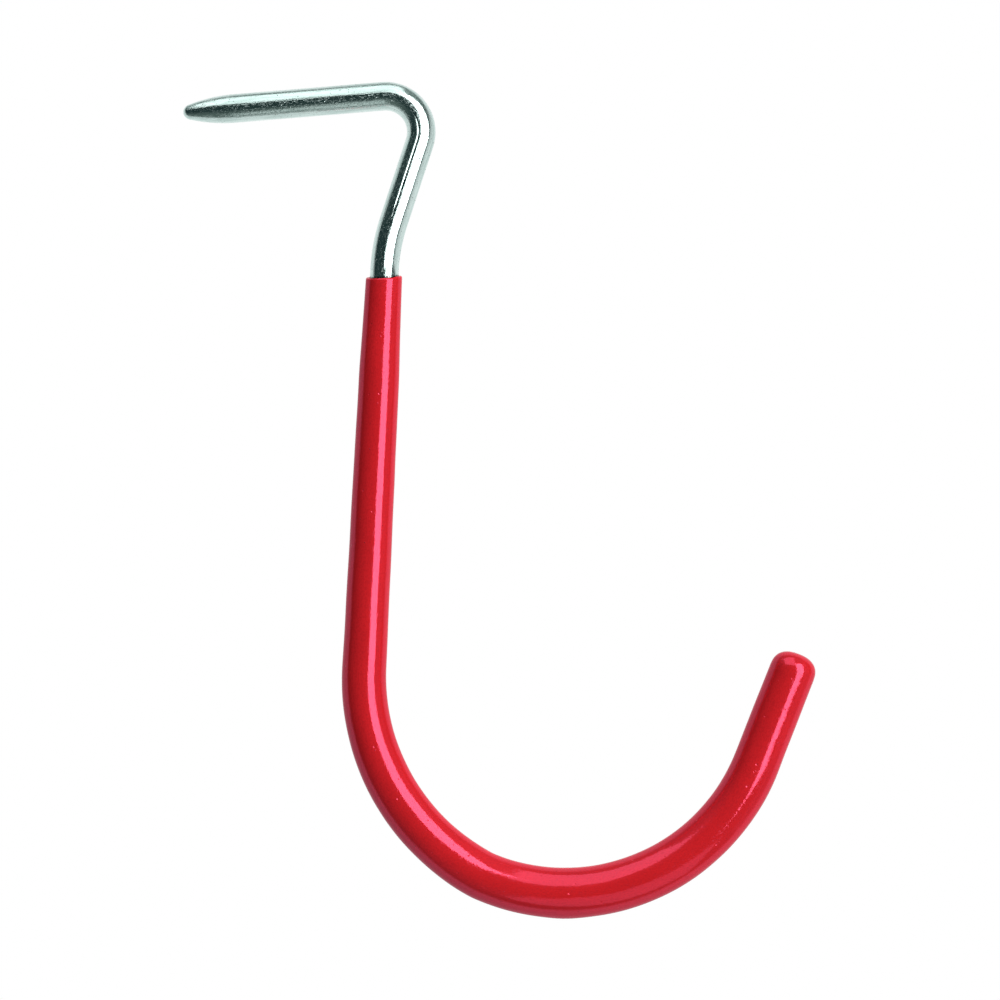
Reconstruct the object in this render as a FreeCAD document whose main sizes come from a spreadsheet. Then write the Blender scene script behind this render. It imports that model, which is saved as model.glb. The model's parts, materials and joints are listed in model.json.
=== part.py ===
import FreeCAD, Part
import Sketcher
import math
import os

# Garage utility hook: a steel rod with a drive-in point, bent cold into a spike, an offset
# shank and a bowl, then dipped in vinyl from the shank to the nose.
# The hook is bent in the XZ plane. X = 0 is the face of the wall and the origin is where the
# spike's axis enters it: the spike runs to -X, and the bowl opens upwards on the +X side.

# Driving sizes, in millimetres and degrees
DRIVING_SIZES = [
    ("rod_diameter", 6.35, "quarter-inch drawn rod"),
    ("spike_in_wall", 35.2, "from the wall's face to the end of the point"),
    ("spike_proud", 9.3, "straight rod between the wall's face and the top bend"),
    ("spike_slope", 4.7, "fall of the spike into the wall, from level"),
    ("point_length", 11.6, "rolled point, from its end to the full rod"),
    ("point_end_diameter", 2.4, "blunt end of the point"),
    ("point_end_round", 0.8, "round on the blunt end"),
    ("top_bend_radius", 7.94, "to the rod's centreline"),
    ("leg_length", 18.4, "straight rod between the top bend and the offset bend"),
    ("leg_lean", 18.2, "from upright, back towards the wall"),
    ("offset_bend_radius", 42.3, "to the rod's centreline"),
    ("shank_length", 88.1, "straight rod between the offset bend and the heel bend"),
    ("shank_lean", 2.9, "from upright, back towards the wall"),
    ("heel_bend_radius", 49.7, "to the rod's centreline, the wide bend under the shank"),
    ("set_bend_radius", 9.5, "to the rod's centreline, where the bender took hold again"),
    ("set_bend_turn", 5.3, "turn of that short bend"),
    ("bowl_radius", 45.7, "to the rod's centreline"),
    ("bowl_start_fall", 23.4, "fall of the rod where the bowl starts, from level"),
    ("tip_length", 23.9, "straight rod past the bowl"),
    ("tip_lean", 21.4, "from upright, away from the wall"),
    ("bare_shank", 1.2, "bare steel between the offset bend and the coat's rim"),
    ("rim_to_shoulder", 25.0, "length in which the coat builds up below its rim"),
    ("primer_film", 0.02, "bond between the steel and the vinyl"),
    ("coat_at_rim", 0.84, "vinyl at the rim"),
    ("coat_at_shoulder", 1.33, "vinyl below the build-up"),
    ("coat_at_heel", 1.74, "vinyl where the heel bend starts"),
    ("coat_at_belly", 2.42, "vinyl at the lowest point, where it gathered as it set"),
    ("coat_at_toe", 2.06, "vinyl where the bowl ends"),
    ("coat_at_nose", 1.96, "vinyl beside the nose"),
    ("nose_wall", 2.0, "vinyl over the end of the rod"),
    ("nose_flat_diameter", 1.3, "flat at the middle of the round nose"),
    ("lip_round", 0.55, "round on the coat's rim"),
]

doc = FreeCAD.newDocument("garage_utility_hook")
sheet = doc.addObject("Spreadsheet::Sheet", "sizes")
for row, (alias, value, meaning) in enumerate(DRIVING_SIZES, start=1):
    sheet.set(f"A{row}", alias)
    sheet.set(f"B{row}", str(value))
    sheet.set(f"C{row}", meaning)
    sheet.setAlias(f"B{row}", alias)
doc.recompute()

# Sizes that follow from the driving ones; a round takes at most a share of the wall it is on
ROUND_SHARE = 0.9
ROD_RADIUS = "sizes.rod_diameter / 2"
BORE_RADIUS = f"{ROD_RADIUS} + sizes.primer_film"
POINT_END_RADIUS = "sizes.point_end_diameter / 2"
POINT_END_ROUND = f"min(sizes.point_end_round; {ROUND_SHARE} * {POINT_END_RADIUS})"
LIP_ROUND = f"min(sizes.lip_round; {ROUND_SHARE} * sizes.coat_at_rim)"
NOSE_ROUND = f"{ROD_RADIUS} + sizes.coat_at_nose - sizes.nose_flat_diameter / 2"
COVERED_SHANK = "sizes.shank_length - sizes.bare_shank - sizes.rim_to_shoulder"

# Headings of the straight runs and of the lowest point, anticlockwise from +X
SPIKE_HEADING = "sizes.spike_slope"
LEG_HEADING = "-90 - sizes.leg_lean"
SHANK_HEADING = "-90 - sizes.shank_lean"
HEEL_END_HEADING = "-sizes.bowl_start_fall - sizes.set_bend_turn"
BOWL_START_HEADING = "-sizes.bowl_start_fall"
BELLY_HEADING = "0"
TIP_HEADING = "90 - sizes.tip_lean"
HEEL_TURN = f"{HEEL_END_HEADING} + 90 + sizes.shank_lean"

# How a sketch names the points of a line or an arc, and its own origin
START, END, CENTRE = 1, 2, 3
SKETCH_ORIGIN = (-1, START)
SKETCH_NORMAL = FreeCAD.Vector(0, 0, 1)
FULL_TURN = 360


def measure(formula):
    """The value of a formula of the sheet's sizes."""
    return float(sheet.evalExpression(formula))


def step(degrees, length):
    """A step in a sketch, in a direction counted anticlockwise from its x axis."""
    angle = math.radians(degrees)
    return FreeCAD.Vector(math.cos(angle), math.sin(angle), 0) * length


def new_body(name):
    """A body, labelled with its sub-part's name."""
    body = doc.addObject("PartDesign::Body", name)
    body.Label = name
    return body


def sketch_in_hook_plane(body, name):
    """A sketch whose x is the part's X and whose y is its Z."""
    sketch = body.newObject("Sketcher::SketchObject", name)
    plane = next(plane for plane in body.Origin.OriginFeatures if plane.Role == "XZ_Plane")
    sketch.AttachmentSupport = [(plane, "")]
    sketch.MapMode = "FlatFace"
    return sketch


def bind(sketch, name, formula, kind, *geometry):
    """A named constraint whose value follows the sheet."""
    value = measure(formula)
    if kind == "Angle":
        value = math.radians(value)
    index = sketch.addConstraint(Sketcher.Constraint(kind, *geometry, value))
    sketch.renameConstraint(index, name)
    sketch.setExpression(f"Constraints.{name}", formula)


class BentLine:
    """The rod's centreline in a sketch: straight runs and bends, each going on from the last."""

    def __init__(self, body, name):
        self.sketch = sketch_in_hook_plane(body, name)
        self.at = FreeCAD.Vector(0, 0, 0)
        self.heading = measure(SPIKE_HEADING)
        self.loose_end = SKETCH_ORIGIN
        self.edges = {}

    def add(self, name, curve, construction):
        """Draw a piece. Only a real one, not a construction line, is an edge of the path."""
        if not construction:
            self.edges[name] = f"Edge{len(self.edges) + 1}"
        return self.sketch.addGeometry(curve, construction)

    def tie(self, kind, piece, near_end, far_end):
        """Join a piece to the loose end of the line."""
        self.sketch.addConstraint(Sketcher.Constraint(kind, *self.loose_end, piece, near_end))
        self.loose_end = (piece, far_end)

    def straight(self, name, length, heading=None, construction=False):
        """Run on for a length. The first run after a bend may be given its heading."""
        near = self.at
        self.at = near + step(self.heading, measure(length))
        piece = self.add(name, Part.LineSegment(near, self.at), construction)
        self.tie("Coincident" if self.loose_end == SKETCH_ORIGIN else "Tangent", piece, START, END)
        bind(self.sketch, f"{name}_run", length, "Distance", piece)
        if heading:
            bind(self.sketch, f"{name}_heading", heading, "Angle", piece)

    def draw_arc(self, name, radius, heading, construction):
        """Draw a bend to a new heading, left or right, and say which of its ends comes first."""
        new_heading = measure(heading)
        side = 90 if new_heading > self.heading else -90
        centre = self.at + step(self.heading + side, measure(radius))
        bounds = sorted(math.radians(way - side) for way in (self.heading, new_heading))
        arc = Part.ArcOfCircle(Part.Circle(centre, SKETCH_NORMAL, measure(radius)), *bounds)
        piece = self.add(name, arc, construction)
        self.at = centre + step(new_heading - side, measure(radius))
        self.heading = new_heading
        return piece, (START, END) if side > 0 else (END, START)

    def bend(self, name, radius, heading, turn=None, construction=False):
        """Bend to a new heading. A bend that no straight run follows is given its turn."""
        piece, ends = self.draw_arc(name, radius, heading, construction)
        self.tie("Tangent", piece, *ends)
        bind(self.sketch, f"{name}_radius", radius, "Radius", piece)
        if turn:
            bind(self.sketch, f"{name}_turn", turn, "Angle", piece)
        return piece

    def bend_on(self, name, before, radius, heading):
        """Go on round the centre of the bend before."""
        piece, ends = self.draw_arc(name, radius, heading, construction=False)
        self.tie("Coincident", piece, *ends)
        self.sketch.addConstraint(Sketcher.Constraint("Coincident", before, CENTRE, piece, CENTRE))

    def down_to_shank(self, construction):
        """From the wall's face over the top bend, down the leg and round the offset bend."""
        self.straight("spike", "sizes.spike_proud", SPIKE_HEADING, construction)
        self.bend("top_bend", "sizes.top_bend_radius", LEG_HEADING, construction=construction)
        self.straight("leg", "sizes.leg_length", LEG_HEADING, construction)
        self.bend("offset_bend", "sizes.offset_bend_radius", SHANK_HEADING, construction=construction)

    def round_the_heel(self):
        """The wide bend under the shank, and the short one before the bowl."""
        self.bend("heel_bend", "sizes.heel_bend_radius", HEEL_END_HEADING, turn=HEEL_TURN)
        self.bend("set_bend", "sizes.set_bend_radius", BOWL_START_HEADING, turn="sizes.set_bend_turn")


def ring(body, path, name, radius, run, place):
    """A round section across a run of a path, at its start (0) or its end (1)."""
    section = body.newObject("Sketcher::SketchObject", name)
    section.AttachmentSupport = [(path.sketch, path.edges[run])]
    section.MapMode = "NormalToEdge"
    section.MapPathParameter = place
    circle = section.addGeometry(Part.Circle(FreeCAD.Vector(0, 0, 0), SKETCH_NORMAL, measure(radius)))
    section.addConstraint(Sketcher.Constraint("Coincident", circle, CENTRE, *SKETCH_ORIGIN))
    bind(section, "radius", radius, "Radius", circle)
    return section


def pipe_along(body, kind, name, path, runs, sections):
    """Sweep one section, or blend several, along runs of a path."""
    pipe = body.newObject(kind, name)
    pipe.Profile = sections[0]
    pipe.Spine = (path.sketch, [path.edges[run] for run in runs])
    if len(sections) > 1:
        pipe.Transformation = "Multisection"
        pipe.Sections = sections[1:]
    doc.recompute()
    return pipe


def round_end(body, name, feature, centre, radius):
    """A fillet round the feature's flat end that has its centre at a point."""
    offsets = [face.CenterOfMass.distanceToPoint(centre) for face in feature.Shape.Faces]
    flat_end = f"Face{offsets.index(min(offsets)) + 1}"
    fillet = body.newObject("PartDesign::Fillet", name)
    fillet.Base = (feature, [flat_end])
    fillet.setExpression("Radius", radius)
    doc.recompute()
    return fillet


def in_part(sketch_point):
    """A point of the hook's plane, in the part's own frame."""
    return FreeCAD.Vector(sketch_point.x, 0, sketch_point.y)


# Steel rod: the point and the driven length are turned about the spike's axis
steel_rod = new_body("steel_rod")
spike_half = sketch_in_hook_plane(steel_rod, "spike_half")
spike_half.AttachmentOffset = FreeCAD.Placement(
    FreeCAD.Vector(0, 0, 0), FreeCAD.Rotation(SKETCH_NORMAL, measure(SPIKE_HEADING)))
spike_half.setExpression("AttachmentOffset.Rotation.Angle", SPIKE_HEADING)

rod_radius = measure(ROD_RADIUS)
point_drop = rod_radius - measure(POINT_END_RADIUS)
point_length = measure("sizes.point_length")
point_sweep_radius = (point_length ** 2 + point_drop ** 2) / (2 * point_drop)
point_sweep = math.asin(point_length / point_sweep_radius)
point_end = -measure("sizes.spike_in_wall")
full_rod = point_end + point_length

end_on_axis = FreeCAD.Vector(point_end, 0, 0)
end_corner = FreeCAD.Vector(point_end, measure(POINT_END_RADIUS), 0)
sweep_centre = FreeCAD.Vector(full_rod, rod_radius - point_sweep_radius, 0)
full_corner = FreeCAD.Vector(full_rod, rod_radius, 0)
wall_corner = FreeCAD.Vector(0, rod_radius, 0)
wall_on_axis = FreeCAD.Vector(0, 0, 0)
sweep_circle = Part.Circle(sweep_centre, SKETCH_NORMAL, point_sweep_radius)

blunt_end = spike_half.addGeometry(Part.LineSegment(end_on_axis, end_corner))
taper = spike_half.addGeometry(Part.ArcOfCircle(sweep_circle, math.pi / 2, math.pi / 2 + point_sweep))
side = spike_half.addGeometry(Part.LineSegment(full_corner, wall_corner))
wall_cut = spike_half.addGeometry(Part.LineSegment(wall_corner, wall_on_axis))
axis = spike_half.addGeometry(Part.LineSegment(wall_on_axis, end_on_axis))
for rule in (
    ("Coincident", axis, END, blunt_end, START),
    ("Coincident", blunt_end, END, taper, END),
    ("Tangent", taper, START, side, START),
    ("Coincident", side, END, wall_cut, START),
    ("Coincident", wall_cut, END, axis, START),
    ("Coincident", axis, START, *SKETCH_ORIGIN),
    ("Horizontal", axis),
    ("Horizontal", side),
    ("Vertical", blunt_end),
    ("Vertical", wall_cut),
):
    spike_half.addConstraint(Sketcher.Constraint(*rule))
bind(spike_half, "in_wall", "sizes.spike_in_wall", "Distance", axis)
bind(spike_half, "end_radius", POINT_END_RADIUS, "Distance", blunt_end)
bind(spike_half, "rod_radius", ROD_RADIUS, "Distance", wall_cut)
bind(spike_half, "point_run", "sizes.point_length", "DistanceX", blunt_end, END, side, START)
spike = steel_rod.newObject("PartDesign::Revolution", "spike")
spike.Profile = spike_half
spike.ReferenceAxis = (spike_half, ["H_Axis"])
spike.Angle = FULL_TURN
doc.recompute()

# Steel rod: from the wall's face on, the round section follows the bends to the hidden end
rod_line = BentLine(steel_rod, "rod_line")
rod_line.down_to_shank(construction=False)
rod_line.straight("shank", "sizes.shank_length", SHANK_HEADING)
rod_line.round_the_heel()
rod_line.bend("bowl", "sizes.bowl_radius", TIP_HEADING)
rod_line.straight("tip", "sizes.tip_length", TIP_HEADING)
doc.recompute()
rod_section = ring(steel_rod, rod_line, "rod_section", ROD_RADIUS, "spike", 0)
bent_rod = pipe_along(steel_rod, "PartDesign::AdditivePipe", "bent_rod",
                      rod_line, rod_line.edges, [rod_section])
point_at = in_part(step(measure(SPIKE_HEADING), point_end))
round_end(steel_rod, "blunt_point", bent_rod, point_at, POINT_END_ROUND)

# Vinyl coat: its own copy of the centreline starts just above the rim and ends at the nose,
# divided wherever the thickness of the dip is set
vinyl_coat = new_body("vinyl_coat")
coat_line = BentLine(vinyl_coat, "coat_line")
coat_line.down_to_shank(construction=True)
coat_line.straight("bare_shank", "sizes.bare_shank", SHANK_HEADING)
rim_at = in_part(coat_line.at)
coat_line.straight("build_up", "sizes.rim_to_shoulder")
coat_line.straight("shank", COVERED_SHANK)
coat_line.round_the_heel()
bowl = coat_line.bend("bowl", "sizes.bowl_radius", BELLY_HEADING)
coat_line.sketch.addConstraint(Sketcher.Constraint("Vertical", bowl, CENTRE, bowl, END))
coat_line.bend_on("far_bowl", bowl, "sizes.bowl_radius", TIP_HEADING)
coat_line.straight("tip", "sizes.tip_length + sizes.primer_film", TIP_HEADING)
coat_line.straight("nose", "sizes.nose_wall")
nose_at = in_part(coat_line.at)
doc.recompute()
skin_runs = [name for name in coat_line.edges if name != "bare_shank"]
bore_runs = [name for name in coat_line.edges if name != "nose"]

# Vinyl coat: the outside blends through a ring at each of those places, fullest at the belly
skin_sections = [
    ring(vinyl_coat, coat_line, f"coat_{place}", f"{ROD_RADIUS} + sizes.coat_at_{place}", run, end)
    for place, run, end in (
        ("rim", "build_up", 0),
        ("shoulder", "build_up", 1),
        ("heel", "shank", 1),
        ("belly", "bowl", 1),
        ("toe", "far_bowl", 1),
        ("nose", "nose", 1),
    )
]
skin = pipe_along(vinyl_coat, "PartDesign::AdditivePipe", "skin", coat_line, skin_runs, skin_sections)
lip = round_end(vinyl_coat, "lip", skin, rim_at, LIP_ROUND)
round_end(vinyl_coat, "nose", lip, nose_at, NOSE_ROUND)

# Vinyl coat: the bore that the rod fills, open at the rim and closed at the nose
bore_section = ring(vinyl_coat, coat_line, "bore_section", BORE_RADIUS, "bare_shank", 0)
pipe_along(vinyl_coat, "PartDesign::SubtractivePipe", "bore", coat_line, bore_runs, [bore_section])

# Every feature has to be sound before a file is written
for feature in doc.Objects:
    if "Invalid" in feature.State or "Error" in feature.State:
        raise RuntimeError(f"{feature.Label} failed: {feature.State}")
os.makedirs("parts", exist_ok=True)
for body in (steel_rod, vinyl_coat):
    if body.Shape.isNull() or not body.Shape.isValid():
        raise RuntimeError(f"{body.Label} has no sound shape")
    print(f"{body.Label}: {len(body.Shape.Solids)} solid, {body.Shape.Volume:.1f} mm3")
for body in (steel_rod, vinyl_coat):
    body.Shape.exportStep(f"parts/{body.Label}.step")
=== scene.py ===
import bisect
import json
import math

import bmesh
import bpy
from mathutils import Matrix, Quaternion, Vector, noise


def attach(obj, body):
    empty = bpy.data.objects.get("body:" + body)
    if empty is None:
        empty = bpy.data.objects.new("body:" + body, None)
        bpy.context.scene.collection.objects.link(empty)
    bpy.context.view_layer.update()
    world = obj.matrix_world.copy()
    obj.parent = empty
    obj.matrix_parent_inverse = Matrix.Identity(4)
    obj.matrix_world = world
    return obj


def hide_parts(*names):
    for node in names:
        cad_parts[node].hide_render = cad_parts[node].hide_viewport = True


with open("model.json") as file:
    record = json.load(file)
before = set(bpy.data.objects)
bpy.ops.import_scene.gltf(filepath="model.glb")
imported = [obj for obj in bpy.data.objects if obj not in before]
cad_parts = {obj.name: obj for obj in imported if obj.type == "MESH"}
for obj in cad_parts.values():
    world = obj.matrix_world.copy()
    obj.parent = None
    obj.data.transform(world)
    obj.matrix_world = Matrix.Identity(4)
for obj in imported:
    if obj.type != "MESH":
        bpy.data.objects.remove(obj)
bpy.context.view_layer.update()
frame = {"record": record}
bpy.context.scene.view_settings.view_transform = "Standard"


# Steel rod: quarter-inch mild steel, cold drawn, swaged to a blunt point at the end that goes into a stud.
# It is pointed while straight, bent cold in one plane, which leaves two flats along the leg, and zinc plated.
# The lower part runs on inside the vinyl and ends just short of the nose.
MM = 0.001
spike_mount = next(mount for mount in frame["record"]["mounts"] if mount["name"] == "spike")
ROD_RADIUS = spike_mount["dims"]["r_mm"] * MM
POINT_LENGTH = 11.6 * MM
POINT_END_RADIUS = 1.2 * MM
POINT_END_ROUND = 1.15 * MM
QUARTER_TURN = math.pi / 2

DRIVEN_LENGTH = 35.2 * MM
SPIKE_PROUD = 9.3 * MM
SPIKE_SLOPE = math.radians(4.7)
TOP_BEND_RADIUS = 7.94 * MM
LEG_LENGTH = 18.4 * MM
LEG_LEAN = math.radians(18.2)
OFFSET_BEND_RADIUS = 42.3 * MM
SHANK_LENGTH = 88.1 * MM
SHANK_LEAN = math.radians(2.9)
HEEL_BEND_RADIUS = 49.7 * MM
SET_BEND_RADIUS = 9.5 * MM
SET_BEND_TURN = math.radians(5.3)
BOWL_RADIUS = 45.7 * MM
BOWL_START_FALL = math.radians(23.4)
TIP_LENGTH = 23.9 * MM
TIP_LEAN = math.radians(21.4)


def straight(length):
    """A straight run of rod: its length, and no bend radius."""
    return length, None


def bend(radius, turn):
    """A bent run of rod: its length, and its radius, which is negative where it turns to the right."""
    return radius * abs(turn), math.copysign(radius, turn)


spike_run = straight(DRIVEN_LENGTH + SPIKE_PROUD)
top_run = bend(TOP_BEND_RADIUS, -(QUARTER_TURN + SPIKE_SLOPE + LEG_LEAN))
leg_run = straight(LEG_LENGTH)
offset_run = bend(OFFSET_BEND_RADIUS, LEG_LEAN - SHANK_LEAN)
shank_run = straight(SHANK_LENGTH)
heel_run = bend(HEEL_BEND_RADIUS, QUARTER_TURN + SHANK_LEAN - BOWL_START_FALL - SET_BEND_TURN)
set_run = bend(SET_BEND_RADIUS, SET_BEND_TURN)
near_bowl_run = bend(BOWL_RADIUS, BOWL_START_FALL)
far_bowl_run = bend(BOWL_RADIUS, QUARTER_TURN - TIP_LEAN)
tip_run = straight(TIP_LENGTH)
hook_runs = (spike_run, top_run, leg_run, offset_run, shank_run, heel_run, set_run, near_bowl_run,
             far_bowl_run, tip_run)


def length_of(*runs):
    """The length of rod that some runs take up."""
    return sum(length for length, radius in runs)


def move_along(travel, radius):
    """The move along a run from its start: straight on, or round the centre of its bend."""
    if radius is None:
        return Matrix.Translation((0, 0, travel))
    centre = Vector((radius, 0, 0))
    return Matrix.Translation(centre) @ Matrix.Rotation(travel / radius, 4, "Y") @ Matrix.Translation(-centre)


def bend_to_hook(mesh):
    """Bends a straight mesh, drawn along Z from the rod's point, into the hook. Its +X goes to the inside of
    the bowl and its +Y to the front. The unbent place of each vertex stays on the mesh, in millimetres."""
    heading = Vector((math.cos(SPIKE_SLOPE), 0, math.sin(SPIKE_SLOPE)))
    inside = Vector((-math.sin(SPIKE_SLOPE), 0, math.cos(SPIKE_SLOPE)))
    front = Vector((0, -1, 0))
    place = Matrix((inside, front, heading)).transposed().to_4x4()
    place.translation = -DRIVEN_LENGTH * heading
    starts, radii, places = [], [], []
    distance = 0.0
    for length, radius in hook_runs:
        starts.append(distance)
        radii.append(radius)
        places.append(place)
        place = place @ move_along(length, radius)
        distance += length
    unbent = mesh.verts.layers.float_vector.new("unbent")
    for vert in mesh.verts:
        vert[unbent] = vert.co / MM
        run = max(bisect.bisect(starts, vert.co.z) - 1, 0)
        across = Vector((vert.co.x, vert.co.y, 0))
        vert.co = places[run] @ move_along(vert.co.z - starts[run], radii[run]) @ across


SIDES = 96
MERGE_DISTANCE = 0.001 * MM


def turn_profile(stations):
    """Turns a profile, from one point of the axis to another, once round it. The profile is drawn from point
    to point through stations of (distance along Z, radius)."""
    mesh = bmesh.new()
    distance, radius = stations[0]
    drawn = bmesh.ops.create_vert(mesh, co=(radius, 0, distance))["vert"]
    for distance, radius in stations[1:]:
        drawn = bmesh.ops.extrude_vert_indiv(mesh, verts=drawn)["verts"]
        bmesh.ops.translate(mesh, verts=drawn, vec=Vector((radius, 0, distance)) - drawn[0].co)
    profile = mesh.verts[:] + mesh.edges[:]
    bmesh.ops.spin(mesh, geom=profile, axis=(0, 0, 1), angle=2 * math.pi, steps=SIDES, use_merge=True)
    bmesh.ops.remove_doubles(mesh, verts=mesh.verts[:], dist=MERGE_DISTANCE)
    return mesh


def even_stations(start, end, step, radius_at):
    """Stations from start to end, about a step apart, with the radius that a function gives at each."""
    count = max(1, round(abs(end - start) / step))
    distances = [start + (end - start) * index / count for index in range(1, count + 1)]
    return [(distance, radius_at(distance)) for distance in distances]


def finish_piece(name, mesh, material):
    """Turns the faces outwards, shades them smooth and puts the mesh in the scene as one piece."""
    bmesh.ops.recalc_face_normals(mesh, faces=mesh.faces[:])
    for face in mesh.faces:
        face.smooth = True
    data = bpy.data.meshes.new(name)
    mesh.to_mesh(data)
    mesh.free()
    data.materials.append(material)
    piece = bpy.data.objects.new(name, data)
    bpy.context.scene.collection.objects.link(piece)
    return piece


def pointed_radius(distance):
    """The rod's radius: an ogive that meets the rod with no corner, with a rounded end."""
    if distance >= POINT_LENGTH:
        return ROD_RADIUS
    drop = ROD_RADIUS - POINT_END_RADIUS
    ogive_radius = (POINT_LENGTH ** 2 + drop ** 2) / (2 * drop)
    ogive = ROD_RADIUS - ogive_radius + math.sqrt(ogive_radius ** 2 - (POINT_LENGTH - distance) ** 2)
    if distance >= POINT_END_ROUND:
        return ogive
    return ogive - POINT_END_ROUND + math.sqrt(POINT_END_ROUND ** 2 - (POINT_END_ROUND - distance) ** 2)


ROD_LENGTH = length_of(*hook_runs)
BARE_SHANK = 1.2 * MM
RIM_DISTANCE = length_of(spike_run, top_run, leg_run, offset_run) + BARE_SHANK
RIM_DROP_FRONT = 0.48 * MM
RIM_DROP_OUTSIDE = 0.42 * MM
FLATS_START = 49.0 * MM
FLATS_EASE = 9.0 * MM
FLATS_FADE = 3.0 * MM
FRONT_FLAT_FACING = math.radians(14.0)
FRONT_FLAT_REACH = math.radians(17.0)
FRONT_FLATNESS = 0.95
SIDE_FLAT_FACING = math.radians(61.0)
SIDE_FLAT_REACH = math.radians(25.0)
SIDE_FLATNESS = 0.75
leg_flats = ((FRONT_FLAT_FACING, FRONT_FLAT_REACH, FRONT_FLATNESS),
             (SIDE_FLAT_FACING, SIDE_FLAT_REACH, SIDE_FLATNESS))


def press_flats(mesh):
    """Presses in the two shallow flats that the bending former leaves along the leg, at its front and its
    inner side. A flatness under 1 leaves a flat a little crowned."""
    for vert in mesh.verts:
        starting = (vert.co.z - FLATS_START) / FLATS_EASE
        ending = (RIM_DISTANCE - vert.co.z) / FLATS_FADE
        pressed = min(max(min(starting, ending), 0.0), 1.0)
        for facing, reach, flatness in leg_flats:
            square = Vector((math.sin(facing), math.cos(facing), 0))
            proud = vert.co.dot(square) - ROD_RADIUS * math.cos(reach)
            vert.co -= square * max(proud, 0.0) * flatness * pressed


POINT_STEP = 0.1 * MM
POINT_STEPS_END = 2.0 * MM
BARE_STEP = 0.4 * MM
BARE_STEPS_END = RIM_DISTANCE + 3.0 * MM
COVERED_STEP = 1.2 * MM
rod_profile = [(0, 0), (0, pointed_radius(0))]
rod_profile += even_stations(0, POINT_STEPS_END, POINT_STEP, pointed_radius)
rod_profile += even_stations(POINT_STEPS_END, BARE_STEPS_END, BARE_STEP, pointed_radius)
rod_profile += even_stations(BARE_STEPS_END, ROD_LENGTH, COVERED_STEP, pointed_radius)
rod_profile += [(ROD_LENGTH, 0)]
rod_mesh = turn_profile(rod_profile)
press_flats(rod_mesh)
bend_to_hook(rod_mesh)


def add_node(tree, kind, values=None, **settings):
    """A node with its settings, and its inputs by name or number: a value, or a socket to link from."""
    node = tree.nodes.new(kind)
    for name, value in settings.items():
        setattr(node, name, value)
    for name, value in (values or {}).items():
        if isinstance(value, bpy.types.NodeSocket):
            tree.links.new(value, node.inputs[name])
        else:
            node.inputs[name].default_value = value
    return node


def reckon(tree, operation, *values):
    """One step of arithmetic on numbers or sockets."""
    return add_node(tree, "ShaderNodeMath", dict(enumerate(values)), operation=operation).outputs[0]


def spread(tree, value, low, high, to_low=0.0, to_high=1.0, ease="LINEAR"):
    """Stretches the part of a value between low and high to a new range, and cuts off the rest."""
    return add_node(tree, "ShaderNodeMapRange", {
        "Value": value, "From Min": low, "From Max": high, "To Min": to_low, "To Max": to_high},
        interpolation_type=ease).outputs[0]


def sunk(tree, marks):
    """Turns marks that stand out of a surface into marks that go into it."""
    return spread(tree, marks, 0.0, 1.0, 1.0, 0.0)


def blend_colours(tree, share, first, second):
    """Goes from the first colour to the second as the share goes from 0 to 1. On a Mix node the two colours
    are inputs 6 and 7, and the blend is output 2."""
    node = add_node(tree, "ShaderNodeMix", {"Factor": share}, data_type="RGBA")
    for socket, colour in ((node.inputs[6], first), (node.inputs[7], second)):
        if isinstance(colour, bpy.types.NodeSocket):
            tree.links.new(colour, socket)
        else:
            socket.default_value = (*colour, 1.0)
    return node.outputs[2]


def relief(tree, height, depth, under=None):
    """Raises a surface by a height from 0 to 1 times a depth in metres, over what is already there."""
    values = {"Height": height, "Distance": depth, "Strength": 1.0}
    if under is not None:
        values["Normal"] = under
    return add_node(tree, "ShaderNodeBump", values).outputs[0]


def unbent_place(tree):
    """Where a point of the surface was before the rod was bent, in millimetres."""
    return add_node(tree, "ShaderNodeAttribute", attribute_name="unbent").outputs["Vector"]


def new_group(name, inputs, output):
    """An empty shader group with number inputs and one number output, and its two end nodes."""
    group = bpy.data.node_groups.new(name, "ShaderNodeTree")
    for label in inputs:
        group.interface.new_socket(label, in_out="INPUT", socket_type="NodeSocketFloat")
    group.interface.new_socket(output, in_out="OUTPUT", socket_type="NodeSocketFloat")
    return group, group.nodes.new("NodeGroupInput"), group.nodes.new("NodeGroupOutput")


GRAIN_DETAIL = 2.0
GRAIN_ROUGHNESS = 0.6


def make_laid_grain():
    """Grain in the unbent rod's own directions: so many marks to the millimetre across it and along it."""
    group, given, result = new_group("laid_grain", ("Across", "Along"), "Grain")
    across, along = given.outputs["Across"], given.outputs["Along"]
    scale = add_node(group, "ShaderNodeCombineXYZ", {"X": across, "Y": across, "Z": along})
    marks = add_node(group, "ShaderNodeVectorMath", {0: unbent_place(group), 1: scale.outputs[0]},
                     operation="MULTIPLY")
    grain = add_node(group, "ShaderNodeTexNoise", {
        "Vector": marks.outputs[0], "Scale": 1.0, "Detail": GRAIN_DETAIL, "Roughness": GRAIN_ROUGHNESS})
    group.links.new(grain.outputs["Fac"], result.inputs["Grain"])
    return group


def make_strewn_specks():
    """Round specks strewn over the surface: 1 in the middle of each, falling to 0 at its edge."""
    group, given, result = new_group("strewn_specks", ("Per mm", "Share", "Size"), "Specks")
    cells = add_node(group, "ShaderNodeTexVoronoi", {
        "Vector": unbent_place(group), "Scale": given.outputs["Per mm"]})
    draw = add_node(group, "ShaderNodeSeparateColor", {0: cells.outputs["Color"]})
    chosen = reckon(group, "LESS_THAN", draw.outputs[0], given.outputs["Share"])
    round_speck = spread(group, cells.outputs["Distance"], 0.0, given.outputs["Size"], 1.0, 0.0, "SMOOTHSTEP")
    group.links.new(reckon(group, "MULTIPLY", round_speck, chosen), result.inputs["Specks"])
    return group


LAID_GRAIN = make_laid_grain()
STREWN_SPECKS = make_strewn_specks()


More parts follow.
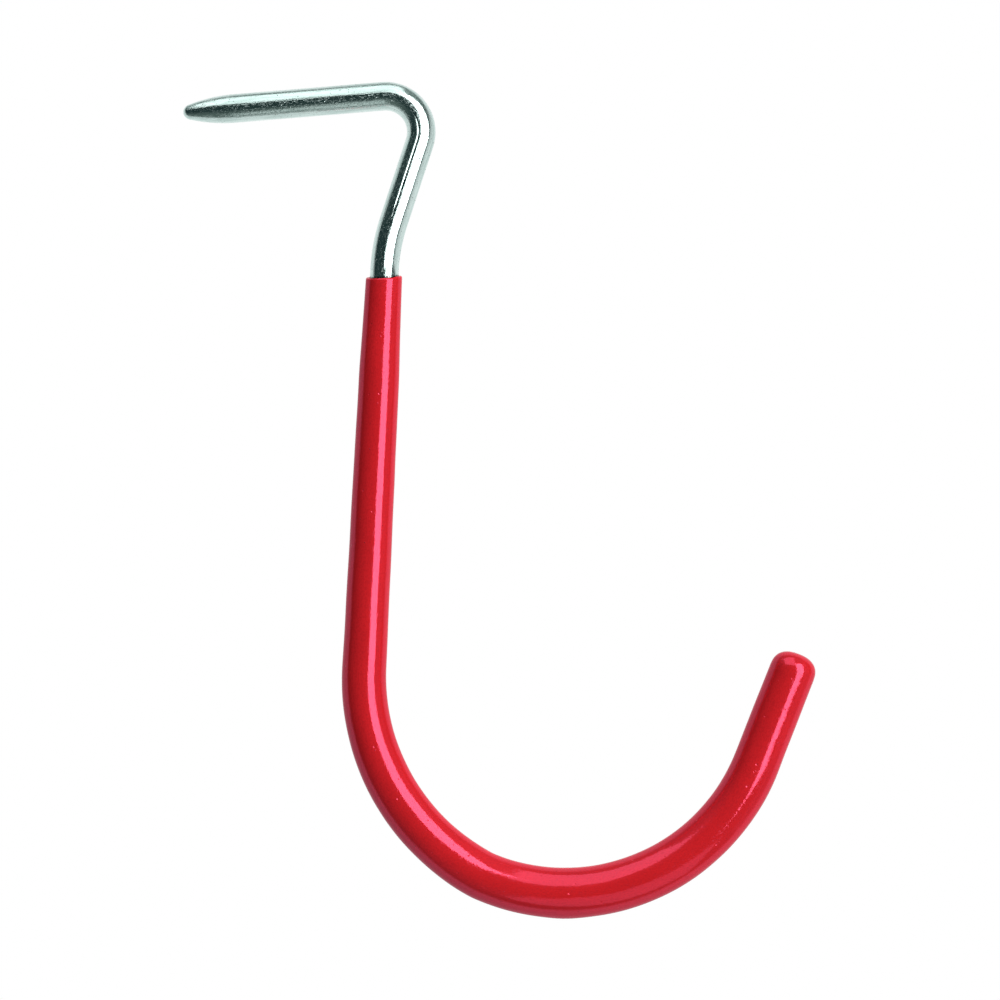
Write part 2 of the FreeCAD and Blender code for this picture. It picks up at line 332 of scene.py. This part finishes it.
def new_finish(name):
    """A new material with its node tree and its shader."""
    material = bpy.data.materials.new(name)
    material.use_nodes = True
    return material, material.node_tree, material.node_tree.nodes["Principled BSDF"]


def place_group(tree, group, **values):
    """One use of a group in a material, with its own values; gives the group's output."""
    node = add_node(tree, "ShaderNodeGroup", node_tree=group)
    for name, value in values.items():
        node.inputs[name.replace("_", " ")].default_value = value
    return node.outputs[0]


DIE_LINE_ACROSS = -0.80 * MM
DIE_LINE_REACH = 0.21 * MM
DIE_LINE_DEPTH = 0.12 * MM
DIE_LINE_START = 51.0 * MM
DIE_LINE_EASE = 6.0 * MM
DIE_LINE_END = 86.0 * MM
DIE_LINE_FADE = 12.0 * MM


def die_line(tree):
    """A hair-fine groove that the tooling drew along the leg, at its front and its back: 0 at its bottom, 1
    beside it."""
    place = add_node(tree, "ShaderNodeSeparateXYZ", {0: unbent_place(tree)})
    across, along = place.outputs["X"], place.outputs["Z"]
    aside = reckon(tree, "ABSOLUTE", reckon(tree, "SUBTRACT", across, DIE_LINE_ACROSS / MM))
    groove = spread(tree, aside, 0.0, DIE_LINE_REACH / MM, 1.0, 0.0)
    comes = spread(tree, along, DIE_LINE_START / MM, (DIE_LINE_START + DIE_LINE_EASE) / MM)
    goes = spread(tree, along, DIE_LINE_END / MM, (DIE_LINE_END - DIE_LINE_FADE) / MM)
    return sunk(tree, reckon(tree, "MULTIPLY", groove, reckon(tree, "MULTIPLY", comes, goes)))


# Painted shadow: where the dark line painted on the steel above the rim starts and how ragged it is.
LIP_SHADOW_STARTS = 0.55 * MM
LIP_SHADOW_FULL = 0.25 * MM
LIP_SHADOW_RAGS = (-0.5 * MM, 0.3 * MM)


def painted_lip_shadow(tree, frost):
    """Painted shadow: a dark line painted on the zinc just above the coat's rim, standing in for the shade of
    the lip, with a ragged edge: 0 on bare zinc, 1 just above the rim, which is out of square.
    """
    square_to_rim = (RIM_DROP_OUTSIDE / ROD_RADIUS, -RIM_DROP_FRONT / ROD_RADIUS, 1.0)
    to_rim = add_node(tree, "ShaderNodeVectorMath", {0: unbent_place(tree), 1: square_to_rim},
                      operation="DOT_PRODUCT").outputs["Value"]
    rags = spread(tree, frost, 0.3, 0.7, *(rag / MM for rag in LIP_SHADOW_RAGS))
    ragged = reckon(tree, "ADD", to_rim, rags)
    return spread(tree, ragged, (RIM_DISTANCE - LIP_SHADOW_STARTS) / MM, (RIM_DISTANCE - LIP_SHADOW_FULL) / MM)


ZINC_DULL = (0.62, 0.77, 0.74)
ZINC_BRIGHT = (0.71, 0.85, 0.82)
STREAK_GREY = (0.30, 0.42, 0.39)
PIT_GREY = (0.16, 0.19, 0.18)
# Painted shadow colour: the dark line on the steel just above the coat's rim, standing in for the lip's
# shade.
LIP_SHADOW_BROWN = (0.06, 0.035, 0.035)
STREAK_SHARE = 0.5
ZINC_ROUGHNESS = (0.10, 0.34)
LINE_DEPTH = 0.026 * MM
FROST_DEPTH = 0.028 * MM
PIT_DEPTH = 0.04 * MM


def zinc_plate():
    """Bright zinc plate with a dull frosty grain, drawing lines along the rod, pits, a fine groove along the
    leg, and a
    painted shadow: a dark line painted above the rim of the coat where the lip shades the steel."""
    material, tree, shader = new_finish("zinc_steel")
    lines = place_group(tree, LAID_GRAIN, Across=3.2, Along=0.09)
    frost = place_group(tree, LAID_GRAIN, Across=4.2, Along=1.5)
    clouds = place_group(tree, LAID_GRAIN, Across=0.22, Along=0.12)
    pits = place_group(tree, STREWN_SPECKS, Per_mm=1.7, Share=0.30, Size=0.30)
    plate = blend_colours(tree, spread(tree, clouds, 0.35, 0.65), ZINC_DULL, ZINC_BRIGHT)
    streaked = blend_colours(tree, spread(tree, lines, 0.50, 0.68, 0.0, STREAK_SHARE), plate, STREAK_GREY)
    pitted = blend_colours(tree, pits, streaked, PIT_GREY)
    # Painted shadow: the dark red-brown line above the rim stands in for the shade that the coat's lip casts
    # on the steel.
    shadowed = blend_colours(tree, painted_lip_shadow(tree, frost), pitted, LIP_SHADOW_BROWN)
    dulled = spread(tree, frost, 0.51, 0.61, *ZINC_ROUGHNESS)
    surface = relief(tree, lines, LINE_DEPTH)
    surface = relief(tree, frost, FROST_DEPTH, surface)
    surface = relief(tree, sunk(tree, pits), PIT_DEPTH, surface)
    surface = relief(tree, die_line(tree), DIE_LINE_DEPTH, surface)
    tree.links.new(shadowed, shader.inputs["Base Color"])
    tree.links.new(dulled, shader.inputs["Roughness"])
    tree.links.new(surface, shader.inputs["Normal"])
    shader.inputs["Metallic"].default_value = 1.0
    return material


steel_rod = finish_piece("bent_rod", rod_mesh, zinc_plate())
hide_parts("steel_rod")
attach(steel_rod, "root")


# Vinyl coat: soft red plastisol, put on by dipping the bent rod hot and curing it: one seamless sleeve.
# It is thin at its rim on the shank, ran down while wet and is thickest where it gathered under the bowl.
# The rim is the line of the bath, a little out of square, and the nose is closed over the end of the rod.
PRIMER_FILM = 0.02 * MM
NOSE_WALL = 2.0 * MM
RIM_TO_SHOULDER = 25.0 * MM
SHOULDER_DISTANCE = RIM_DISTANCE + RIM_TO_SHOULDER
HEEL_DISTANCE = length_of(spike_run, top_run, leg_run, offset_run, shank_run)
BELLY_DISTANCE = HEEL_DISTANCE + length_of(heel_run, set_run, near_bowl_run)
TIP_DISTANCE = BELLY_DISTANCE + length_of(far_bowl_run)
NOSE_DISTANCE = ROD_LENGTH + NOSE_WALL
RIM_THICKNESS = 0.84 * MM
SHOULDER_THICKNESS = 1.33 * MM
HEEL_THICKNESS = 1.74 * MM
BELLY_THICKNESS = 2.42 * MM
TIP_THICKNESS = 2.06 * MM
NOSE_THICKNESS = 1.96 * MM
coat_places = (RIM_DISTANCE, SHOULDER_DISTANCE, HEEL_DISTANCE, BELLY_DISTANCE, TIP_DISTANCE, NOSE_DISTANCE)
coat_depths = (RIM_THICKNESS, SHOULDER_THICKNESS, HEEL_THICKNESS, BELLY_THICKNESS, TIP_THICKNESS,
               NOSE_THICKNESS)


def thickening(index):
    """How fast the coat thickens at one of its places: the slope from the place before to the one after."""
    before = max(index - 1, 0)
    after = min(index + 1, len(coat_places) - 1)
    return (coat_depths[after] - coat_depths[before]) / (coat_places[after] - coat_places[before])


def coat_thickness(distance):
    """How thick the coat is: a smooth curve through its thickness at each place."""
    here = min(max(bisect.bisect(coat_places, distance) - 1, 0), len(coat_places) - 2)
    span = coat_places[here + 1] - coat_places[here]
    part = (distance - coat_places[here]) / span
    rise = coat_depths[here + 1] - coat_depths[here]
    start = thickening(here) * span
    end = thickening(here + 1) * span
    cubic = start + end - 2 * rise
    square = 3 * rise - 2 * start - end
    return coat_depths[here] + part * (start + part * (square + part * cubic))


def coat_radius(distance):
    """The radius of the coat's outer wall."""
    return ROD_RADIUS + coat_thickness(distance)


def bore_radius(distance):
    """The radius of the coat's bore, which is the same all along: the rod's, and the film of primer."""
    return ROD_RADIUS + PRIMER_FILM


LIP_ROUND = 0.45 * MM
LIP_CREASE = 0.25 * MM
LIP_STEPS = 5


def lip_stations():
    """The rim's lip: a crease where it leaves the rod, and a round from its face out to the wall."""
    wall = coat_radius(RIM_DISTANCE)
    angles = [QUARTER_TURN * index / LIP_STEPS for index in range(LIP_STEPS + 1)]
    crease = [(RIM_DISTANCE + LIP_CREASE, bore_radius(RIM_DISTANCE))]
    return crease + [(RIM_DISTANCE + LIP_ROUND * (1 - math.cos(angle)),
                      wall - LIP_ROUND * (1 - math.sin(angle))) for angle in angles]


NOSE_DOME = 4.4 * MM
NOSE_SQUARENESS = 0.82
NOSE_STEPS = 28
WALL_END = NOSE_DISTANCE - NOSE_DOME


def nose_stations():
    """The nose, from the wall over its rounded shoulder to its pole: squarer than a ball."""
    wall = coat_radius(NOSE_DISTANCE)
    angles = [QUARTER_TURN * index / NOSE_STEPS for index in range(1, NOSE_STEPS + 1)]
    return [(NOSE_DISTANCE - NOSE_DOME * (1 - math.sin(angle) ** NOSE_SQUARENESS),
             wall * math.cos(angle) ** NOSE_SQUARENESS) for angle in angles]


DIP_WAVE = 0.055 * MM
DIP_WAVE_LENGTH = 9.0 * MM
SAG = 0.16 * MM
SAG_LENGTH = 4.0 * MM
SAG_NARROWNESS = 6
RIM_WANDER = 0.22 * MM
RIM_WANDER_FINENESS = 2.5
RIM_REACH = 7.0 * MM


def let_run(mesh):
    """Makes the coat as uneven as a dip leaves it: slow waves, a rim out of square, a sag under the bowl."""
    for vert in mesh.verts:
        across = Vector((vert.co.x, vert.co.y))
        distance = vert.co.z
        if across.length > bore_radius(distance) + LIP_CREASE and distance < WALL_END:
            to_nose = min(1.0, (WALL_END - distance) / DIP_WAVE_LENGTH)
            wave = noise.noise(vert.co / DIP_WAVE_LENGTH) * DIP_WAVE * to_nose
            from_belly = (distance - BELLY_DISTANCE) / SAG_LENGTH
            underside = max(0.0, -across.x / across.length) ** SAG_NARROWNESS
            grow = wave + SAG * underside * math.exp(-from_belly ** 2)
            across *= 1 + grow / across.length
        fade = max(0.0, 1 - (distance - RIM_DISTANCE) / RIM_REACH) ** 2
        side = Vector((vert.co.x, vert.co.y, 0)).normalized()
        wander = RIM_WANDER * noise.noise(RIM_WANDER_FINENESS * side)
        drop = RIM_DROP_FRONT * side.y - RIM_DROP_OUTSIDE * side.x + wander
        vert.co = (across.x, across.y, distance + drop * fade)


COAT_STEP = 0.45 * MM
BORE_STEP = 1.5 * MM
BORE_START = RIM_DISTANCE + 2 * LIP_CREASE
BORE_END = ROD_LENGTH + PRIMER_FILM
coat_profile = [(BORE_END, 0), (BORE_END, bore_radius(BORE_END))]
coat_profile += even_stations(BORE_END, BORE_START, BORE_STEP, bore_radius)
coat_profile += lip_stations()
coat_profile += even_stations(RIM_DISTANCE + LIP_ROUND, WALL_END, COAT_STEP, coat_radius)
coat_profile += nose_stations()
coat_mesh = turn_profile(coat_profile)
let_run(coat_mesh)
bend_to_hook(coat_mesh)

VINYL_DEEP = (0.73, 0.0170, 0.0220)
VINYL_BRIGHT = (0.82, 0.0195, 0.0255)
GRAIN_RED = (0.50, 0.010, 0.014)
GRAIN_SHARE = 0.34
PINHOLE_RED = (0.26, 0.006, 0.010)
VINYL_ROUGHNESS = (0.07, 0.26)
VINYL_IOR = 2.3
GLOSS_TINT = (0.65, 0.094, 0.18, 1.0)
PEEL_DEPTH = 0.024 * MM
GRAIN_DEPTH = 0.011 * MM
BUBBLE_HEIGHT = 0.10 * MM
PINHOLE_DEPTH = 0.06 * MM


def red_vinyl():
    """Glossy dipped vinyl: a faint orange peel, flow streaks, dull grains, and the pinholes and bubbles of a
    hot dip. What it mirrors is tinted by the red under the gloss."""
    material, tree, shader = new_finish("red_vinyl")
    streaks = place_group(tree, LAID_GRAIN, Across=0.35, Along=0.05)
    peel = place_group(tree, LAID_GRAIN, Across=0.8, Along=0.6)
    grain = place_group(tree, LAID_GRAIN, Across=2.4, Along=2.1)
    bubbles = place_group(tree, STREWN_SPECKS, Per_mm=0.45, Share=0.20, Size=0.14)
    pinholes = place_group(tree, STREWN_SPECKS, Per_mm=0.8, Share=0.12, Size=0.16)
    red = blend_colours(tree, spread(tree, streaks, 0.3, 0.7), VINYL_DEEP, VINYL_BRIGHT)
    grained = blend_colours(tree, spread(tree, grain, 0.46, 0.64, 0.0, GRAIN_SHARE), red, GRAIN_RED)
    specked = blend_colours(tree, pinholes, grained, PINHOLE_RED)
    dulled = spread(tree, grain, 0.56, 0.64, *VINYL_ROUGHNESS)
    surface = relief(tree, peel, PEEL_DEPTH)
    surface = relief(tree, grain, GRAIN_DEPTH, surface)
    surface = relief(tree, bubbles, BUBBLE_HEIGHT, surface)
    surface = relief(tree, sunk(tree, pinholes), PINHOLE_DEPTH, surface)
    tree.links.new(specked, shader.inputs["Base Color"])
    tree.links.new(dulled, shader.inputs["Roughness"])
    tree.links.new(surface, shader.inputs["Normal"])
    shader.inputs["IOR"].default_value = VINYL_IOR
    shader.inputs["Specular IOR Level"].default_value = 1.0
    shader.inputs["Specular Tint"].default_value = GLOSS_TINT
    return material


vinyl_coat = finish_piece("dipped_coat", coat_mesh, red_vinyl())
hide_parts("vinyl_coat")
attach(vinyl_coat, "root")


# Floor: a wide pale board well below the hook, which hangs from the wall by its spike and doesn't reach it.
# Under the hook it is part plain board, which keeps the shadow; farther out it is the white background.
FLOOR_HEIGHT = -1.35
FLOOR_RADIUS = 12.0
FLOOR_SIDES = 128
FLOOR_PALE = (0.86, 0.86, 0.86, 1.0)
FLOOR_ROUGHNESS = 0.9
SHADOW_RADIUS = 0.35
WHITE_RADIUS = 0.95
NEAR_WHITE = 0.6


def background_seen(tree):
    """1 for the rays that show a background: the camera's, and those in metal and glass."""
    rays = add_node(tree, "ShaderNodeLightPath").outputs
    mirrored = reckon(tree, "MAXIMUM", rays["Is Glossy Ray"], rays["Is Transmission Ray"])
    return reckon(tree, "MAXIMUM", rays["Is Camera Ray"], mirrored)


def pale_board():
    """A plain pale board that turns to even white away from the hook."""
    material, tree, shader = new_finish("pale_board")
    shader.inputs["Base Color"].default_value = FLOOR_PALE
    shader.inputs["Roughness"].default_value = FLOOR_ROUGHNESS
    shader.inputs["Specular IOR Level"].default_value = 0.0
    place = add_node(tree, "ShaderNodeTexCoord").outputs["Object"]
    parts = add_node(tree, "ShaderNodeSeparateXYZ", {0: place}).outputs
    flat = add_node(tree, "ShaderNodeCombineXYZ", {"X": parts["X"], "Y": parts["Y"]})
    away = add_node(tree, "ShaderNodeVectorMath", {0: flat.outputs[0]}, operation="LENGTH").outputs["Value"]
    far = spread(tree, away, SHADOW_RADIUS, WHITE_RADIUS, NEAR_WHITE, 1.0, "SMOOTHSTEP")
    share = reckon(tree, "MULTIPLY", far, background_seen(tree))
    white = add_node(tree, "ShaderNodeEmission", {"Strength": 1.0})
    mixed = add_node(tree, "ShaderNodeMixShader", {0: share, 1: shader.outputs[0], 2: white.outputs[0]})
    tree.links.new(mixed.outputs[0], tree.nodes["Material Output"].inputs["Surface"])
    return material


floor_mesh = bmesh.new()
bmesh.ops.create_circle(floor_mesh, cap_ends=True, segments=FLOOR_SIDES, radius=FLOOR_RADIUS)
bmesh.ops.translate(floor_mesh, verts=floor_mesh.verts[:], vec=(0, 0, FLOOR_HEIGHT))
floor = finish_piece("floor", floor_mesh, pale_board())
floor.visible_glossy = False
floor.visible_diffuse = False


# Studio light: a tall softbox to the right of the camera, one overhead, a card low in front and a panel at
# the right, which stand where the bright bands on the hook show their reflections, and one for its back.
# The white background behind the hook shows in the steel and the vinyl; the room in front of it is dim.
KEY_PLACE = Vector((1.34, -1.55, 0.29))
KEY_FACING = Vector((-0.45, 0.81, -0.37))
KEY_SIZE = (1.41, 2.50)
KEY_RADIANCE = 4.6
TOP_PLACE = Vector((-0.26, -0.43, 0.83))
TOP_FACING = Vector((-0.37, 0.44, -0.82))
TOP_SIZE = (1.15, 1.07)
TOP_LEAN = math.radians(-38.0)
TOP_RADIANCE = 1.20
CARD_PLACE = Vector((0.25, -0.42, -0.54))
CARD_FACING = Vector((0.39, 0.30, 0.87))
CARD_SIZE = (0.47, 0.54)
CARD_LEAN = math.radians(27.6)
CARD_RADIANCE = 0.50
PANEL_PLACE = Vector((0.75, -0.185, -0.15))
PANEL_FACING = Vector((-1, 0, 0))
PANEL_SIZE = (0.43, 1.20)
PANEL_RADIANCE = 0.13
BACK_PLACE = Vector((-0.10, 1.70, 0.45))
BACK_FACING = Vector((0.10, -1.70, -0.55))
BACK_SIZE = (1.20, 1.60)
BACK_RADIANCE = 2.6


def softbox(name, place, facing, size, radiance, lean=0.0):
    """A rectangular lamp of even brightness that faces a direction, turned about it by a lean."""
    width, height = size
    lamp = bpy.data.lights.new(name, "AREA")
    lamp.shape = "RECTANGLE"
    lamp.size = width
    lamp.size_y = height
    lamp.energy = radiance * math.pi * width * height
    holder = bpy.data.objects.new(name, lamp)
    turned = facing.to_track_quat("-Z", "Y") @ Quaternion((0, 0, 1), lean)
    holder.matrix_world = Matrix.Translation(place) @ turned.to_matrix().to_4x4()
    holder.visible_camera = False
    bpy.context.scene.collection.objects.link(holder)
    return holder


softbox("key_softbox", KEY_PLACE, KEY_FACING, KEY_SIZE, KEY_RADIANCE)
softbox("top_softbox", TOP_PLACE, TOP_FACING, TOP_SIZE, TOP_RADIANCE, TOP_LEAN)
softbox("low_card", CARD_PLACE, CARD_FACING, CARD_SIZE, CARD_RADIANCE, CARD_LEAN)
softbox("side_panel", PANEL_PLACE, PANEL_FACING, PANEL_SIZE, PANEL_RADIANCE)
back_softbox = softbox("back_softbox", BACK_PLACE, BACK_FACING, BACK_SIZE, BACK_RADIANCE)
back_softbox.visible_glossy = False

ROOM_DIM = (0.022, 0.040, 0.040)
ROOM_LOW = (0.12, 0.15, 0.14)
ROOM_LOW_HEIGHTS = (-0.25, -0.75)
ROOM_HIGH = (0.22, 0.26, 0.25)
ROOM_HIGH_HEIGHTS = (0.35, 0.85)
SWEEP_WHITE = (1.0, 1.0, 1.0)
SWEEP_FACING = (-0.10, 1.0, -0.35)
SWEEP_EDGE = 0.80
SWEEP_EDGE_SPAN = (0.02, 0.32)
SWEEP_MIDDLE_SPAN = (0.35, 0.95)
SWEEP_SPILL = 0.35

world = bpy.data.worlds.new("studio")
bpy.context.scene.world = world
world.use_nodes = True
room = world.node_tree
direction = add_node(room, "ShaderNodeTexCoord").outputs["Generated"]
parts = add_node(room, "ShaderNodeSeparateXYZ", {0: direction}).outputs
lower = blend_colours(room, spread(room, parts["Z"], *ROOM_LOW_HEIGHTS), ROOM_DIM, ROOM_LOW)
front = blend_colours(room, spread(room, parts["Z"], *ROOM_HIGH_HEIGHTS), lower, ROOM_HIGH)
to_sweep = add_node(room, "ShaderNodeVectorMath", {0: direction, 1: SWEEP_FACING}, operation="DOT_PRODUCT")
edge = spread(room, to_sweep.outputs["Value"], *SWEEP_EDGE_SPAN, 0.0, SWEEP_EDGE, "SMOOTHSTEP")
middle = spread(room, parts["Y"], *SWEEP_MIDDLE_SPAN, 0.0, 1.0 - SWEEP_EDGE)
lit = blend_colours(room, reckon(room, "ADD", edge, middle), front, SWEEP_WHITE)
rays = add_node(room, "ShaderNodeLightPath").outputs
spill = spread(room, rays["Is Diffuse Ray"], 0.0, 1.0, 1.0, SWEEP_SPILL)
through = reckon(room, "MAXIMUM", rays["Is Camera Ray"], rays["Is Transmission Ray"])
seen = blend_colours(room, through, lit, SWEEP_WHITE)
room.links.new(seen, room.nodes["Background"].inputs["Color"])
room.links.new(spill, room.nodes["Background"].inputs["Strength"])


# Camera: a long lens, level with the middle of the picture and square to the plane of the hook.
# The picture is as wide, at the hook, as the photograph's frame.
PICTURE_WIDTH = 222.42 * MM
PICTURE_CENTRE = Vector((35.37, 0, -89.03)) * MM
LENS = 135.0
lens = bpy.data.cameras.new("camera")
lens.lens = LENS
camera = bpy.data.objects.new("camera", lens)
camera.location = PICTURE_CENTRE + Vector((0, -PICTURE_WIDTH * LENS / lens.sensor_width, 0))
camera.rotation_euler = (QUARTER_TURN, 0, 0)
bpy.context.scene.collection.objects.link(camera)
bpy.context.scene.camera = camera
